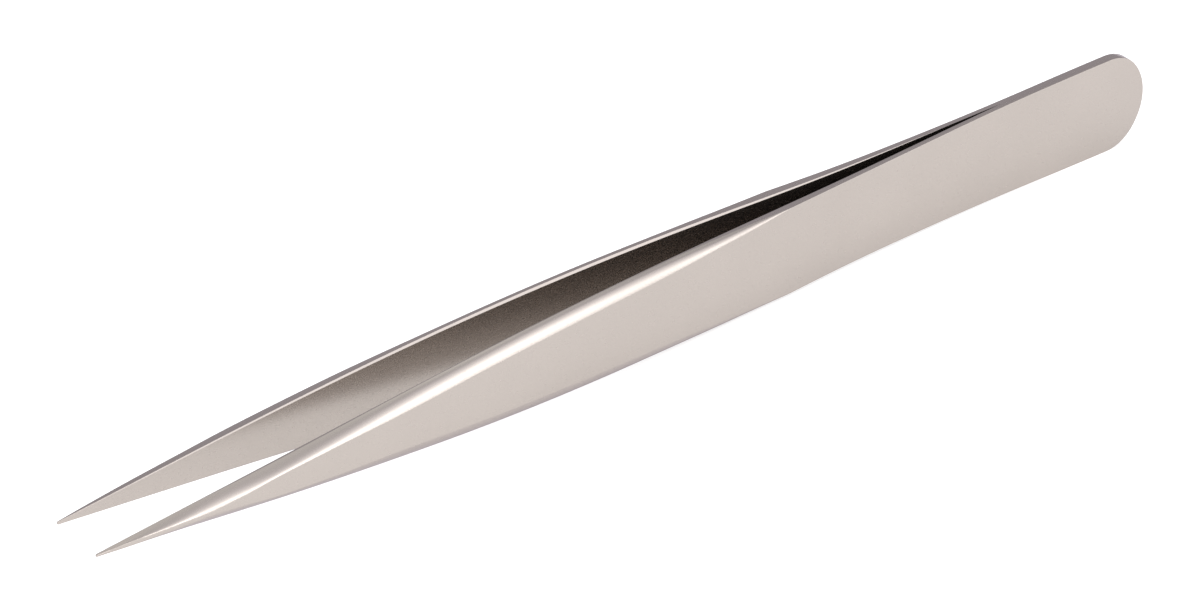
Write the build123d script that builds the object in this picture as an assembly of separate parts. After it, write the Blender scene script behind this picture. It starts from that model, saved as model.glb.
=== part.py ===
from build123d import *
import os
from math import cos, radians, sin, sqrt, tan

# Fine-pointed steel tweezers: two ground blades, welded face to face at the tail.
# Millimetres. A blade is drawn with its point at x = 0 and its tail at x = length,
# the weld plane at y = 0 and the middle of its width at z = 0, then moved to its place.

# Lengths along the blade, from the point
length = 110.0
needle_middle = 9.0
needle_end = 17.0      # the straight taper of the point ends here
shoulder_at = 36.0
belly_at = 60.0
waist_at = 75.0

# Lengths at the tail
weld_length = 16.0     # the blades are joined over this length, and part at the crotch
flat_lead = 4.0        # the outer face straightens into the tail over this length
thin_lead = 4.0        # the thin springy stretch starts this far in front of the crotch

# Width of a blade, from its lower edge to its upper edge
tip_width = 0.30
needle_width = 3.54
shoulder_width = 6.98
belly_width = 8.64
waist_width = 8.42
tail_width = 9.24

# Rounded tail, seen from the side
end_flatness = 0.58    # how much larger the end's radius is than half the tail's width
corner_radius = 3.6

# Half of the open gap: from the middle plane to the inner face of a blade
tip_gap = 2.70
needle_gap = 2.58
shoulder_gap = 2.15
belly_gap = 1.24
waist_gap = 0.58
crotch_spread = 2.0    # degrees between a blade and the middle plane where they part

# Thickness of a blade
tip_thickness = 0.12
blade_thickness = 1.25
tail_thickness = 0.465
full_from = 19.0       # the point has grown to the full thickness here
full_to = 50.0         # the blade starts to thin towards the tail here

# Ground bevels along the two outer edges
tip_bevel = 0.13       # how far down the width a bevel reaches
needle_bevel = 0.90    # on the needle the two bevels nearly meet
neck_bevel = 0.90
shoulder_bevel = 1.06
belly_bevel = 0.62
bevel_end = 70.0       # the bevels run out here
tip_land = 0.05        # flat side left between the inner face and a bevel
blade_land = 0.42
crest_angle = 14.0     # degrees between the flat side and the start of a bevel
face_angle = 19.0      # degrees between a bevel and the outer face

# Light breaks on the sharp edges
tip_break = 0.02       # how far down the width the inner break reaches
blade_break = 0.18
break_share = 0.60     # width of the inner break against its reach
break_lead = 6.0       # the inner break runs out this far in front of the crotch
outer_break = 0.025

# Cutting shapes
overrun = 0.10         # how far a bevel's curve passes the edges that it cuts
clear = 1.0            # how far a cutting shape stands past the metal
cuts = 14              # sections that carry a cut along a blade

crotch_at = length - weld_length
flat_from = crotch_at + flat_lead
thin_from = crotch_at - thin_lead
break_end = crotch_at - break_lead
end_radius = tail_width / 2 + end_flatness


def height_on(curves, x):
    """Height at one x on curves that run from small x to large x."""
    curve = next((c for c in curves if (c @ 1).X >= x), curves[-1])
    low, high = 0.0, 1.0
    for _ in range(30):
        middle = (low + high) / 2
        if (curve @ middle).X < x:
            low = middle
        else:
            high = middle
    return (curve @ high).Y


def corner_centre():
    """Centre of the arc that rounds the upper corner of the tail."""
    height = tail_width / 2 - corner_radius
    reach = sqrt((end_radius - corner_radius) ** 2 - height**2)
    return Vector(length - end_radius + reach, height)


def upper_edge():
    """Upper edge of a blade seen from the side, from its point to the tail corner."""
    start = Vector(tip_width / 2, tip_width / 2)
    needle = Vector(needle_end, needle_width / 2)
    bend = Spline(
        needle,
        (shoulder_at, shoulder_width / 2),
        (belly_at, belly_width / 2),
        (waist_at, waist_width / 2),
        (corner_centre().X, tail_width / 2),
        tangents=((needle - start).normalized(), (1, 0)),
    )
    return [Line(start, needle), bend]


def inner_face():
    """Inner face of a blade seen from above, from its point to its tail."""
    spread = radians(crotch_spread)
    bow = Spline(
        (0, tip_gap),
        (needle_end, needle_gap),
        (shoulder_at, shoulder_gap),
        (belly_at, belly_gap),
        (waist_at, waist_gap),
        (crotch_at, 0),
        tangents=((1, -0.01), (cos(spread), -sin(spread))),
    )
    return [bow, Line((crotch_at, 0), (length, 0))]


def thickness_along():
    """Thickness of a blade against the distance from its point."""
    growth = 2.2 * (blade_thickness - tip_thickness) / full_from
    grown = Spline((0, tip_thickness), (full_from, blade_thickness), tangents=((1, growth), (1, 0)))
    full = Line((full_from, blade_thickness), (full_to, blade_thickness))
    thinned = Spline((full_to, blade_thickness), (thin_from, tail_thickness), tangents=((1, 0), (1, 0)))
    return [grown, full, thinned]


def outer_face():
    """Outer face of a blade seen from above: the bow plus the changing thickness."""
    places = [thin_from * n / (cuts - 1) for n in range(cuts)]
    points = [Vector(x, height_on(inner, x) + height_on(thickness, x)) for x in places]
    bow = Spline(*points, (flat_from, tail_thickness))
    return [bow, Line((flat_from, tail_thickness), (length, tail_thickness))]


def bevel_reach():
    """Reach of a bevel down the width against the distance from the point."""
    return [
        Spline(
            (0, tip_bevel),
            (needle_middle, needle_bevel),
            (needle_end, neck_bevel),
            (shoulder_at, shoulder_bevel),
            (belly_at, belly_bevel),
            (bevel_end, 0),
        )
    ]


def land_along():
    """Flat side beside a bevel against the distance from the point."""
    growth = 2.0 * (blade_land - tip_land) / needle_end
    grown = Spline((0, tip_land), (needle_end, blade_land), tangents=((1, growth), (1, 0)))
    even = Line((needle_end, blade_land), (full_to, blade_land))
    edge = height_on(outer, bevel_end) - height_on(inner, bevel_end)
    widened = Spline((full_to, blade_land), (bevel_end, edge), tangents=((1, 0), (1, 0.05)))
    return [grown, even, widened]


upper = upper_edge()
inner = inner_face()
thickness = thickness_along()
outer = outer_face()
bevel = bevel_reach()
land = land_along()


def side_outline():
    """Blade seen from the side."""
    centre = corner_centre()
    end_centre = Vector(length - end_radius, 0)
    meeting = end_centre + (centre - end_centre).normalized() * end_radius
    middle = Vector(0, 1) + (meeting - centre).normalized()
    corner = ThreePointArc(upper[-1] @ 1, centre + middle.normalized() * corner_radius, meeting)
    top = [*upper, corner]
    bottom = [mirror(edge, about=Plane.XZ) for edge in top]
    tip = ThreePointArc(bottom[0] @ 0, (0, 0), top[0] @ 0)
    end = ThreePointArc(meeting, (length, 0), Vector(meeting.X, -meeting.Y))
    return make_face([*top, *bottom, tip, end])


def top_outline():
    """Blade seen from above."""
    tip = Line(inner[0] @ 0, outer[0] @ 0)
    end = Line(inner[-1] @ 1, outer[-1] @ 1)
    return make_face([*inner, end, *outer, tip])


def blank():
    """Blade with its outer edges broken, before it is ground."""
    plan = extrude(Pos(0, 0, -tail_width) * top_outline(), amount=2 * tail_width)
    side = extrude(Plane.XZ * side_outline(), amount=-2 * (tip_gap + blade_thickness))
    bar = plan & side
    back = bar.faces().filter_by(lambda face: face.normal_at().Y > 0.9)
    rim = [edge for edge in back.edges() if abs((edge @ 0).X - (edge @ 0.5).X) > outer_break]
    return chamfer(rim, outer_break)


def bevel_section(x):
    """Metal that the upper bevel takes away in one plane across the blade."""
    side = height_on(upper, x)
    near = height_on(inner, x)
    thick = height_on(outer, x) - near
    wide = min(height_on(land, x), thick)
    deep = height_on(bevel, x)
    down = Vector(0, cos(radians(crest_angle)), -sin(radians(crest_angle)))
    out = Vector(0, sin(radians(face_angle)), -cos(radians(face_angle)))
    crest = Vector(x, near + wide, side)
    edge = Vector(x, near + thick, side - deep)
    slope = tan(radians(face_angle))
    knee = crest + down * ((thick - wide - deep * slope) / (down.Y + slope * down.Z))
    start = crest - down * overrun
    finish = edge + out * overrun
    outside = finish.Y + clear
    above = start.Z + clear
    frame = Polyline(finish, (x, outside, finish.Z), (x, outside, above), (x, start.Y, above), start)
    return make_face([Bezier(start, knee, finish), *frame.edges()])


def bevel_cut():
    """Solid that grinds the upper bevel into a blade."""
    places = [bevel_end * n / (cuts - 1) for n in range(cuts)]
    return loft([bevel_section(x) for x in places])


def break_section(x, size):
    """Metal that the break on the upper inner edge takes away in one plane across the blade."""
    start = Vector(x, height_on(inner, x), height_on(upper, x) - size)
    slope = Vector(0, break_share, 1)
    low = start - slope * clear
    high = start + slope * (size + clear)
    return make_face(Polyline(low, high, (x, low.Y, high.Z), low))


def break_cut():
    """Solid that breaks the upper inner edge of a blade, from its point to where it runs out."""
    places = [break_end * n / (cuts - 1) for n in range(cuts)]
    size = Spline((0, tip_break), (shoulder_at, blade_break), (belly_at, blade_break), (break_end, 0))
    return loft([break_section(x, height_on([size], x)) for x in places])


def blade():
    """One finished blade, on the positive side of the weld plane."""
    ground = blank()
    for cut in (bevel_cut(), break_cut()):
        ground = ground - cut - mirror(cut, about=Plane.XY)
    return ground


place = Pos(-length / 2, 0, tail_width / 2)
right = blade()
arms = {"right_arm": place * right, "left_arm": place * mirror(right, about=Plane.XZ)}

os.makedirs("parts", exist_ok=True)
for name, arm in arms.items():
    export_step(arm, f"parts/{name}.step")
    print(name, round(arm.volume, 2), "cubic millimetres")
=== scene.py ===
from math import atan2, cos, pi, radians, sin, sqrt, tan

import bmesh
import bpy
import numpy as np
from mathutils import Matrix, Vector


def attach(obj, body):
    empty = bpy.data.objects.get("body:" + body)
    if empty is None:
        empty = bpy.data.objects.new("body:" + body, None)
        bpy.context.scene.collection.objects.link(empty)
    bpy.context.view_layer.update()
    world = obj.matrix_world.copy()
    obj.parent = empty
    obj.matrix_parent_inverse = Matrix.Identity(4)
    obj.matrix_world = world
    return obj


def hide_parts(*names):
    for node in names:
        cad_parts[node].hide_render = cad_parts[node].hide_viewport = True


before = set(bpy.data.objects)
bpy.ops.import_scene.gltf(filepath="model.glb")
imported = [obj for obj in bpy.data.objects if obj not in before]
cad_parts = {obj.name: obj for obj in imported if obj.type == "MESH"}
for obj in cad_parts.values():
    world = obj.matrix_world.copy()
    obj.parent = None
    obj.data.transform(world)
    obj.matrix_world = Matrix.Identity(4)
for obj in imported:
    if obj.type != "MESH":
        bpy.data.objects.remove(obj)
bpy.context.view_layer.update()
print("frame loaded:", ", ".join(sorted(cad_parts)))

mm = 0.001


# Small helpers that more than one piece uses

def pickNothing():
    if bpy.context.object and bpy.context.object.mode != "OBJECT":
        bpy.ops.object.mode_set(mode="OBJECT")
    bpy.ops.object.select_all(action="DESELECT")


def pickOnly(piece):
    pickNothing()
    piece.select_set(True)
    bpy.context.view_layer.objects.active = piece


def smoothCurve(points, startSlope=None, endSlope=None):
    # A curve through points, smooth in slope and bend, given back as a function of x
    xs = np.array([p[0] for p in points], float)
    ys = np.array([p[1] for p in points], float)
    step, rise = np.diff(xs), np.diff(ys) / np.diff(xs)
    count = len(xs)
    table, target = np.zeros((count, count)), np.zeros(count)
    for i in range(1, count - 1):
        table[i, i - 1:i + 2] = 1 / step[i - 1], 2 / step[i - 1] + 2 / step[i], 1 / step[i]
        target[i] = 3 * (rise[i - 1] / step[i - 1] + rise[i] / step[i])
    for i, slope, near in ((0, startSlope, 1), (count - 1, endSlope, count - 2)):
        table[i, i], table[i, near] = (2, 1) if slope is None else (1, 0)
        target[i] = 3 * rise[min(i, near)] if slope is None else slope
    slopes = np.linalg.solve(table, target)

    def valueAt(x):
        i = int(np.clip(np.searchsorted(xs, x) - 1, 0, count - 2))
        t = float(np.clip((x - xs[i]) / step[i], 0, 1))
        a, b = slopes[i] * step[i] - step[i] * rise[i], step[i] * rise[i] - slopes[i + 1] * step[i]
        return float((1 - t) * ys[i] + t * ys[i + 1] + t * (1 - t) * (a * (1 - t) + b * t))

    return valueAt


# The steel blade, in millimetres, with its point at x = 0 and its tail at x = length.
# Across is measured from the middle plane between the arms, up from the middle of the width.
blade = {
    "length": 110.0,
    "tailWidth": 9.24,
    "weldLength": 16.0,
    "needleEnd": 17.0,       # the straight taper of the point ends here
    "tipWidth": 0.30,
    "halfWidth": [(17, 1.83), (36, 3.52), (60, 4.33), (75, 4.21)],
    "cornerRadius": 3.6,     # the tail's corners
    "endRadius": 5.2,        # the tail's end
    "halfGap": [(0, 2.70), (17, 2.58), (36, 2.15), (60, 1.24), (75, 0.58)],
    "gapSlope": -0.01,
    "crotchSlope": -0.0349,  # how the blades close where they meet
    "tipThickness": 0.12,
    "thickness": 1.25,
    "tailThickness": 0.465,
    "fullFrom": 19.0,
    "pointGrowth": 2.2,      # how fast the point thickens at first, against even growth
    "thinning": [(26, 1.25), (39, 1.12), (50, 1.08), (60, 1.04), (66, 0.96), (75, 0.71), (82, 0.56),
                 (90, 0.465)],
    "flatFrom": 98.0,
    "thicknessCuts": 14,
    # How far down the width a bevel reaches
    "bevel": [(0, 0.13), (5, 0.68), (9, 0.98), (13, 1.05), (16, 0.90), (19, 0.92), (24, 1.06), (29, 1.22),
              (36, 1.20), (43, 1.17), (51, 1.08), (57, 0.93), (62, 0.62), (66, 0.38), (70, 0)],
    # Flat side left beside a bevel
    "land": [(0, 0.05), (4, 0.20), (8, 0.31), (12, 0.37), (17, 0.40), (38, 0.44), (56, 0.46)],
    "landEndSlope": 0.05,    # how the land opens into the bare side where the bevel runs out
    # Nearly flat strip beside the land
    "strip": [(0, 0.02), (7, 0.38), (13, 0.50), (22, 0.44), (28, 0.32), (35, 0.06), (42, 0), (70, 0)],
    "stripShare": 0.75,      # most of the room beside the land that the strip may take
    "stripAngle": 15.0,
    # Angle at which the bevel proper starts
    "crestAngle": [(0, 34), (22, 32), (30, 22), (36, 14), (70, 12)],
    "faceAngle": 19.0,
    "soften": (0.10, 0.02),  # how far the lower edge of a bevel is rounded over, on the needle and behind it
    "softenEnds": (12.0, 14.5),
    "softenRoom": 0.25,      # share of a bevel's reach kept free of the middle line
    "softenShare": 0.3,      # most of a bevel's reach that may be rounded over
    "innerBreak": [(0, 0.02), (36, 0.18), (60, 0.18), (88, 0)],
    "breakShare": 0.60,      # width of the inner break against its depth
    "outerBreak": 0.025,
    "bevelSteps": 7,
    "softenSteps": 3,
    "stationStep": 0.9,      # farthest between two sections
    "firstStep": 0.25,
    "stepGrowth": 0.10,
    "crotchRoom": 0.4,       # share of a step kept clear beside the crotch
    "tailPitch": 0.08,       # between the places on the middle line that serve the rounded tail
    "mergeReach": 0.002,
    "dissolveReach": 0.001,
    "tipSteps": 6,
    "tipGather": 0.999,      # how nearly the sections of the rounded point share one place on the middle line
    "cornerSteps": 10,
    "endSteps": 8,
    "sharpAngle": 16.0,
}


# The left blade is ground by hand as the right one is, with narrower flats and a wider inner break
leftBlade = {
    **blade,
    "halfGap": [(0, 2.70), (17, 2.60), (36, 2.29), (60, 1.38), (75, 0.68)],
    "thickness": 1.1,
    "thinning": [(26, 1.10), (39, 1.05), (50, 1.01), (60, 0.95), (66, 0.86), (75, 0.63), (82, 0.52),
                 (90, 0.465)],
    "land": [(0, 0.05), (4, 0.05), (8, 0.08), (12, 0.17), (17, 0.26), (26, 0.25), (38, 0.25), (54, 0.27)],
    "strip": [(0, 0), (70, 0)],
    "innerBreak": [(0, 0.02), (20, 0.20), (36, 0.29), (64, 0.29), (88, 0)],
}


def bladeCurves(b):
    # Every measure of the blade as a function of x
    crotch = b["length"] - b["weldLength"]
    tipSlope = (b["halfWidth"][0][1] - b["tipWidth"] / 2) / (b["needleEnd"] - b["tipWidth"] / 2)
    corner = b["tailWidth"] / 2 - b["cornerRadius"]
    cornerX = b["length"] - b["endRadius"] + sqrt((b["endRadius"] - b["cornerRadius"]) ** 2 - corner ** 2)
    width = smoothCurve(b["halfWidth"] + [(cornerX, b["tailWidth"] / 2)], tipSlope, 0)
    bow = smoothCurve(b["halfGap"] + [(crotch, 0)], b["gapSlope"], b["crotchSlope"])
    growth = smoothCurve([(0, b["tipThickness"]), (b["fullFrom"], b["thickness"])],
                         b["pointGrowth"] * (b["thickness"] - b["tipThickness"]) / b["fullFrom"], 0)
    thinning = smoothCurve(b["thinning"], 0, 0)
    thinFrom, thinTo = b["thinning"][0][0], b["thinning"][-1][0]

    def halfWidth(x):
        if x > b["needleEnd"]:
            return width(x)
        return b["tipWidth"] / 2 + tipSlope * (x - b["tipWidth"] / 2)

    def inner(x):
        return bow(x) if x < crotch else 0.0

    def metal(x):
        return growth(x) if x < b["fullFrom"] else thinning(x) if x > thinFrom else b["thickness"]

    cuts = [thinTo * n / (b["thicknessCuts"] - 1) for n in range(b["thicknessCuts"])]
    backPoints = [(x, inner(x) + metal(x)) for x in cuts] + [(b["flatFrom"], b["tailThickness"])]
    back = smoothCurve(backPoints, None, 0)

    def outer(x):
        return back(x) if x < b["flatFrom"] else b["tailThickness"]

    end = b["bevel"][-1][0]
    reach = smoothCurve(b["bevel"])
    landAlong = smoothCurve(b["land"], None, 0)
    landOut = smoothCurve([b["land"][-1], (end, outer(end) - inner(end))], 0, b["landEndSlope"])
    breakSize = smoothCurve(b["innerBreak"])
    strip = smoothCurve(b["strip"])
    crestAngle = smoothCurve(b["crestAngle"])
    soften = smoothCurve(list(zip(b["softenEnds"], b["soften"])), 0, 0)

    def land(x):
        widest = outer(x) - inner(x) - b["outerBreak"]
        grown = landAlong(x) if x < b["land"][-1][0] else landOut(x)
        return max(min(grown, widest), b["land"][0][1]) if x < end else widest

    def bevel(x):
        least = min(b["outerBreak"], reach(x)) if x < b["needleEnd"] else b["outerBreak"]
        deepest = halfWidth(x) - min(soften(x), b["softenRoom"] * reach(x))
        return max(min(reach(x), deepest), least) if x < end else b["outerBreak"]

    return {
        "halfWidth": halfWidth,
        "inner": inner,
        "outer": outer,
        "land": land,
        "bevel": bevel,
        "strip": strip,
        "crestAngle": crestAngle,
        "innerBreak": lambda x: breakSize(x) if x < b["innerBreak"][-1][0] else 0.0,
        "soften": lambda x: min(soften(x), b["softenShare"] * bevel(x)),
        "cornerX": cornerX,
        "cornerZ": corner,
        "crotch": crotch,
    }


def bladeStations(b, curves):
    # Places along the upper edge: a point on it, the way into the metal, and its partner on the middle line
    r = b["tipWidth"] / 2
    stations = []
    for n in range(b["tipSteps"]):
        a = pi / 2 * n / b["tipSteps"]
        x, z = r * (1 - cos(a)), r * sin(a)
        stations.append(((x, z), (cos(a), -sin(a)), x + r * b["tipGather"] * cos(a)))
    x, places = r, []
    while x < curves["cornerX"] - b["stationStep"] / 2:
        places.append(x)
        x += min(b["stationStep"], b["firstStep"] + b["stepGrowth"] * x)
    room = b["crotchRoom"] * b["stationStep"]
    places = [p for p in places if abs(p - curves["crotch"]) > room] + [curves["crotch"]]
    for x in sorted(places) + [curves["cornerX"]]:
        stations.append(((x, curves["halfWidth"](x)), (0, -1), x))
    endX = b["length"] - b["endRadius"]
    meet = atan2(curves["cornerZ"], curves["cornerX"] - endX)
    for n in range(1, b["cornerSteps"] + 1):
        a = pi / 2 + (meet - pi / 2) * n / b["cornerSteps"]
        x, z = curves["cornerX"] + b["cornerRadius"] * cos(a), curves["cornerZ"] + b["cornerRadius"] * sin(a)
        stations.append(((x, z), (-cos(a), -sin(a)), curves["cornerX"] + b["tailPitch"] * n))
    for n in range(1, b["endSteps"] + 1):
        a = meet * (1 - n / b["endSteps"])
        x, z = endX + b["endRadius"] * cos(a), b["endRadius"] * sin(a)
        middle = curves["cornerX"] + b["tailPitch"] * (b["cornerSteps"] + n)
        stations.append(((x, z), (-cos(a), -sin(a)), middle))
    return stations


def bentLine(start, knee, finish, steps):
    # Points along a curve that leaves start towards knee and comes from knee into finish
    line = []
    for n in range(steps + 1):
        t = n / steps
        corners = zip(start, knee, finish)
        line.append(tuple((1 - t) ** 2 * p + 2 * t * (1 - t) * q + t * t * r for p, q, r in corners))
    return line


def sectionAt(b, curves, station):
    # Corners of the upper half of the section, from the middle of the inner face to that of the outer face
    (x, z), inward, middle = station
    thick = curves["outer"](x) - curves["inner"](x)
    land, reach, small = curves["land"](x), curves["bevel"](x), curves["innerBreak"](x)
    crest, face = radians(curves["crestAngle"](x)), radians(b["faceAngle"])
    drop = tan(radians(b["stripAngle"]))
    room = (thick - land - reach * tan(face)) / (1 - drop * tan(face))
    strip = max(min(curves["strip"](x), b["stripShare"] * room), 0)
    ridge = (land + strip, strip * drop)
    run = (thick - ridge[0] - (reach - ridge[1]) * tan(face)) / (cos(crest) - tan(face) * sin(crest))
    knee = (ridge[0] + run * cos(crest), ridge[1] + run * sin(crest))
    soft = curves["soften"](x)
    above, below = (thick - soft * tan(face), reach - soft), (thick, reach + soft)
    rows = [(0, small), (small * b["breakShare"], 0)]
    rows += [(land, 0)] + bentLine(ridge, knee, above, b["bevelSteps"])
    rows += bentLine(above, (thick, reach), below, b["softenSteps"])[1:]
    corners = []
    for across, inset in rows:
        px, pz = x + inward[0] * inset, max(z + inward[1] * inset, 0)
        corners.append((px, curves["inner"](px) + across, pz))
    first = (middle, curves["inner"](middle), 0)
    last = (middle, curves["outer"](middle), 0)
    return [first, *corners, last]


def orderedLine(picked):
    # Vertices of one open line of edges, from one end to the other, starting at the inner face
    chosen = set(picked)
    linked = {v: [e.other_vert(v) for e in v.link_edges if e.other_vert(v) in chosen] for v in picked}
    ends = [v for v in picked if len(linked[v]) == 1]
    walk = [min(ends, key=lambda v: v.co.y)]
    while len(walk) < len(picked):
        walk.append(next(v for v in linked[walk[-1]] if v not in walk))
    return walk


def makeBlade(b):
    curves = bladeCurves(b)
    stations = bladeStations(b, curves)
    sections = [[Vector(corner) * mm for corner in sectionAt(b, curves, s)] for s in stations]

    # An upright line of edges with one corner for each corner of a section
    pickNothing()
    bpy.ops.mesh.primitive_grid_add(x_subdivisions=1, y_subdivisions=len(sections[0]) - 1, size=mm)
    piece = bpy.context.object
    bpy.ops.object.mode_set(mode="EDIT")
    bpy.ops.mesh.select_mode(type="VERT")
    mesh = bmesh.from_edit_mesh(piece.data)
    for v in mesh.verts:
        v.select_set(v.co.x > 0)
    bpy.ops.mesh.delete(type="VERT")
    mesh = bmesh.from_edit_mesh(piece.data)
    line = sorted(mesh.verts, key=lambda v: v.co.y)

    # Drawn out along the blade, one section after another, each corner moved to its place
    for n, section in enumerate(sections):
        if n:
            for v in line:
                v.select_set(True)
            mesh.select_flush(True)
            bpy.ops.mesh.extrude_edges_move(TRANSFORM_OT_translate={"value": section[0] - sections[n - 1][0]})
            mesh = bmesh.from_edit_mesh(piece.data)
            line = orderedLine([v for v in mesh.verts if v.select])
        bpy.ops.mesh.select_all(action="DESELECT")
        for v, target in zip(line, section):
            v.select_set(True)
            bpy.ops.transform.translate(value=target - v.co)
            v.select_set(False)
    bpy.ops.object.mode_set(mode="OBJECT")

    # The lower half is the mirror image of the upper one
    half = piece.modifiers.new("lowerHalf", "MIRROR")
    half.use_axis = (False, False, True)
    half.merge_threshold = b["mergeReach"] * mm
    bpy.ops.object.modifier_apply(modifier=half.name)
    bpy.ops.object.mode_set(mode="EDIT")
    bpy.ops.mesh.select_all(action="SELECT")
    bpy.ops.mesh.remove_doubles(threshold=b["mergeReach"] * mm)
    bpy.ops.mesh.dissolve_degenerate(threshold=b["dissolveReach"] * mm)
    bpy.ops.mesh.normals_make_consistent(inside=False)
    bpy.ops.transform.translate(value=(-b["length"] / 2 * mm, 0, b["tailWidth"] / 2 * mm))
    bpy.ops.object.mode_set(mode="OBJECT")
    bpy.ops.object.shade_smooth_by_angle(angle=radians(b["sharpAngle"]))
    return piece


def turnToLeft(arm):
    # Mirrors an arm to the other side of the weld plane
    pickOnly(arm)
    bpy.ops.object.mode_set(mode="EDIT")
    bpy.ops.mesh.select_all(action="SELECT")
    bpy.ops.transform.resize(value=(1, -1, 1), center_override=(0, 0, 0))
    bpy.ops.mesh.normals_make_consistent(inside=False)
    bpy.ops.object.mode_set(mode="OBJECT")


# Steel, satin on the faces

steel = {
    "colour": (0.440, 0.399, 0.367),
    "colourSpread": 0.03,
    "glancing": (0.62, 0.60, 0.66),   # tint of the reflection at a glancing view
    "roughness": (0.23, 0.28),
    "grainScale": (3000, 9000, 9000),   # a fine satin speck, a little drawn out down the blade
    "grainDetail": 3.0,
    "grainHeight": 0.00000015,
    "cloudScale": 130,
    "cloudDetail": 2.0,
    "noiseBand": (0.3, 0.7),   # the part of a noise's range that is used
}


def node(tree, kind, **settings):
    made = tree.nodes.new(kind)
    for key, value in settings.items():
        setattr(made, key, value)
    return made


def satinSteel(s):
    material = bpy.data.materials.new("satinSteel")
    material.use_nodes = True
    tree = material.node_tree
    shader = tree.nodes["Principled BSDF"]
    shader.inputs["Metallic"].default_value = 1.0
    shader.inputs["Specular Tint"].default_value = (*s["glancing"], 1)
    place = node(tree, "ShaderNodeTexCoord")
    stretch = node(tree, "ShaderNodeMapping")
    stretch.inputs["Scale"].default_value = s["grainScale"]
    grain = node(tree, "ShaderNodeTexNoise")
    grain.inputs["Scale"].default_value = 1.0
    grain.inputs["Detail"].default_value = s["grainDetail"]
    cloud = node(tree, "ShaderNodeTexNoise")
    cloud.inputs["Scale"].default_value = s["cloudScale"]
    cloud.inputs["Detail"].default_value = s["cloudDetail"]
    tint = node(tree, "ShaderNodeValToRGB")
    shades = (1 - s["colourSpread"] / 2, 1 + s["colourSpread"] / 2)
    for stop, position, shade in zip(tint.color_ramp.elements, s["noiseBand"], shades):
        stop.position = position
        stop.color = (*[c * shade for c in s["colour"]], 1)
    dull = node(tree, "ShaderNodeMapRange")
    dull.inputs["From Min"].default_value, dull.inputs["From Max"].default_value = s["noiseBand"]
    dull.inputs["To Min"].default_value, dull.inputs["To Max"].default_value = s["roughness"]
    bump = node(tree, "ShaderNodeBump")
    bump.inputs["Strength"].default_value = 1.0
    bump.inputs["Distance"].default_value = s["grainHeight"]
    tree.links.new(place.outputs["Object"], stretch.inputs["Vector"])
    tree.links.new(place.outputs["Object"], cloud.inputs["Vector"])
    tree.links.new(stretch.outputs["Vector"], grain.inputs["Vector"])
    tree.links.new(cloud.outputs["Fac"], tint.inputs["Fac"])
    tree.links.new(tint.outputs["Color"], shader.inputs["Base Color"])
    tree.links.new(grain.outputs["Fac"], dull.inputs["Value"])
    tree.links.new(dull.outputs["Result"], shader.inputs["Roughness"])
    tree.links.new(grain.outputs["Fac"], bump.inputs["Height"])
    tree.links.new(bump.outputs["Normal"], shader.inputs["Normal"])
    return material


rightArm = makeBlade(blade)
rightArm.name = "rightArm"
leftArm = makeBlade(leftBlade)
leftArm.name = "leftArm"
turnToLeft(leftArm)
armSteel = satinSteel(steel)
for arm, solid in ((rightArm, "right_arm"), (leftArm, "left_arm")):
    arm.data.materials.clear()
    arm.data.materials.append(armSteel)
    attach(arm, "root")
    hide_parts(solid)
print("arms made:", len(rightArm.data.polygons), "faces each")


# Studio: a pale floor, one soft box and a soft surround

studio = {
    "floorSize": 4.0,
    "floorColour": (0.70, 0.70, 0.702),
    "floorRoughness": 0.9,
    "floorGlow": 0.65,
    # Colour of the surround against height, from the horizon up
    "surround": [(0.0, (0.68, 0.67, 0.70)), (0.54, (0.62, 0.60, 0.66)), (0.64, (0.49, 0.47, 0.52)),
                 (0.77, (0.74, 0.73, 0.76)), (0.85, (0.82, 0.82, 0.83)), (0.93, (1.20, 1.20, 1.19)),
                 (1.0, (1.30, 1.30, 1.28))],
    # A brighter part of the surround, against the cosine of the angle from its middle
    "front": {"turn": -66, "height": 4, "strength": 3.2,
              "lobe": [(0.40, (0, 0, 0)), (0.69, (0.05, 0.05, 0.05)), (0.81, (0.17, 0.17, 0.17)),
                       (0.92, (0.27, 0.27, 0.27)), (0.965, (0.42, 0.42, 0.42)), (0.99, (1, 1, 1))]},
    "sideBox": {"place": (-0.50, -0.05, 0.78), "size": (0.9, 0.9), "glow": 1.5, "tint": (1.0, 0.995, 0.99)},
}


def makeFloor(s):
    pickNothing()
    bpy.ops.mesh.primitive_plane_add(size=s["floorSize"])
    floor = bpy.context.object
    floor.name = "floor"
    material = bpy.data.materials.new("paleFloor")
    material.use_nodes = True
    shader = material.node_tree.nodes["Principled BSDF"]
    shader.inputs["Base Color"].default_value = (*s["floorColour"], 1)
    shader.inputs["Roughness"].default_value = s["floorRoughness"]
    shader.inputs["Specular IOR Level"].default_value = 0.0
    shader.inputs["Emission Color"].default_value = (1, 1, 1, 1)
    shader.inputs["Emission Strength"].default_value = s["floorGlow"]
    floor.data.materials.append(material)


def softBox(name, s):
    data = bpy.data.lights.new(name, "AREA")
    data.shape = "RECTANGLE"
    data.size, data.size_y = s["size"]
    data.energy = s["glow"] * pi * data.size * data.size_y
    data.color = s["tint"]
    light = bpy.data.objects.new(name, data)
    bpy.context.collection.objects.link(light)
    light.location = s["place"]
    light.rotation_euler = (-Vector(s["place"])).to_track_quat("-Z", "Y").to_euler()


def setStops(ramp, stops):
    while len(ramp.color_ramp.elements) < len(stops):
        ramp.color_ramp.elements.new(1.0)
    for n, (place, colour) in enumerate(stops):
        ramp.color_ramp.elements[n].position = place
    for n, (place, colour) in enumerate(stops):
        ramp.color_ramp.elements[n].color = (*colour, 1)


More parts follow.
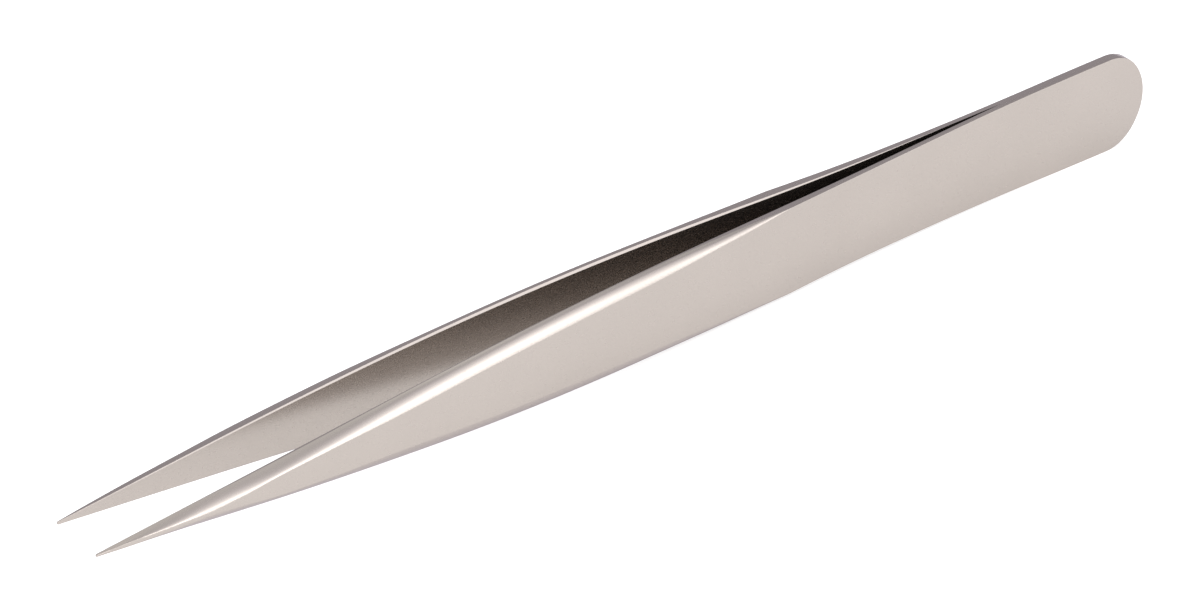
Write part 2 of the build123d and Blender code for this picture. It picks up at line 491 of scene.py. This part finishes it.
def makeSurround(s):
    world = bpy.data.worlds.new("studio")
    bpy.context.scene.world = world
    world.use_nodes = True
    tree = world.node_tree
    back = tree.nodes["Background"]
    place = node(tree, "ShaderNodeTexCoord")
    split = node(tree, "ShaderNodeSeparateXYZ")
    ramp = node(tree, "ShaderNodeValToRGB")
    setStops(ramp, s["surround"])
    front = s["front"]
    turn, up = radians(front["turn"]), radians(front["height"])
    toward = node(tree, "ShaderNodeVectorMath", operation="DOT_PRODUCT")
    toward.inputs[1].default_value = (cos(turn) * cos(up), sin(turn) * cos(up), sin(up))
    lobe = node(tree, "ShaderNodeValToRGB")
    setStops(lobe, front["lobe"])
    both = node(tree, "ShaderNodeVectorMath", operation="MULTIPLY_ADD")
    both.inputs[1].default_value = (front["strength"],) * 3
    tree.links.new(place.outputs["Generated"], split.inputs["Vector"])
    tree.links.new(split.outputs["Z"], ramp.inputs["Fac"])
    tree.links.new(place.outputs["Generated"], toward.inputs[0])
    tree.links.new(toward.outputs["Value"], lobe.inputs["Fac"])
    tree.links.new(lobe.outputs["Color"], both.inputs[0])
    tree.links.new(ramp.outputs["Color"], both.inputs[2])
    tree.links.new(both.outputs["Vector"], back.inputs["Color"])


makeFloor(studio)
makeSurround(studio)
softBox("sideBox", studio["sideBox"])
bpy.context.scene.view_settings.view_transform = "Standard"
print("studio set")


# Camera, fitted to the photograph's outlines; its image is 1200 x 615

camera = {
    "turn": 37.66,
    "height": 33.29,
    "distance": 0.500,
    "aim": (0, 0, 0.00462),
    "focalPixels": 6086.0,
    "aimPixel": (637.6, 301.8),
    "image": (1200, 615),
    "sensorWidth": 36.0,
    "clip": (0.01, 20.0),
}


def makeCamera(c):
    data = bpy.data.cameras.new("camera")
    data.sensor_width = c["sensorWidth"]
    wide, high = c["image"]
    data.lens = data.sensor_width * c["focalPixels"] / wide
    data.shift_x = -(c["aimPixel"][0] - wide / 2) / wide
    data.shift_y = (c["aimPixel"][1] - high / 2) / wide
    data.clip_start, data.clip_end = c["clip"]
    eye = bpy.data.objects.new("camera", data)
    bpy.context.collection.objects.link(eye)
    turn, up = radians(c["turn"]), radians(c["height"])
    back = Vector((-sin(turn) * cos(up), -cos(turn) * cos(up), sin(up)))
    eye.location = Vector(c["aim"]) + back * c["distance"]
    eye.rotation_euler = (-back).to_track_quat("-Z", "Y").to_euler()
    bpy.context.scene.camera = eye


makeCamera(camera)
print("camera set")
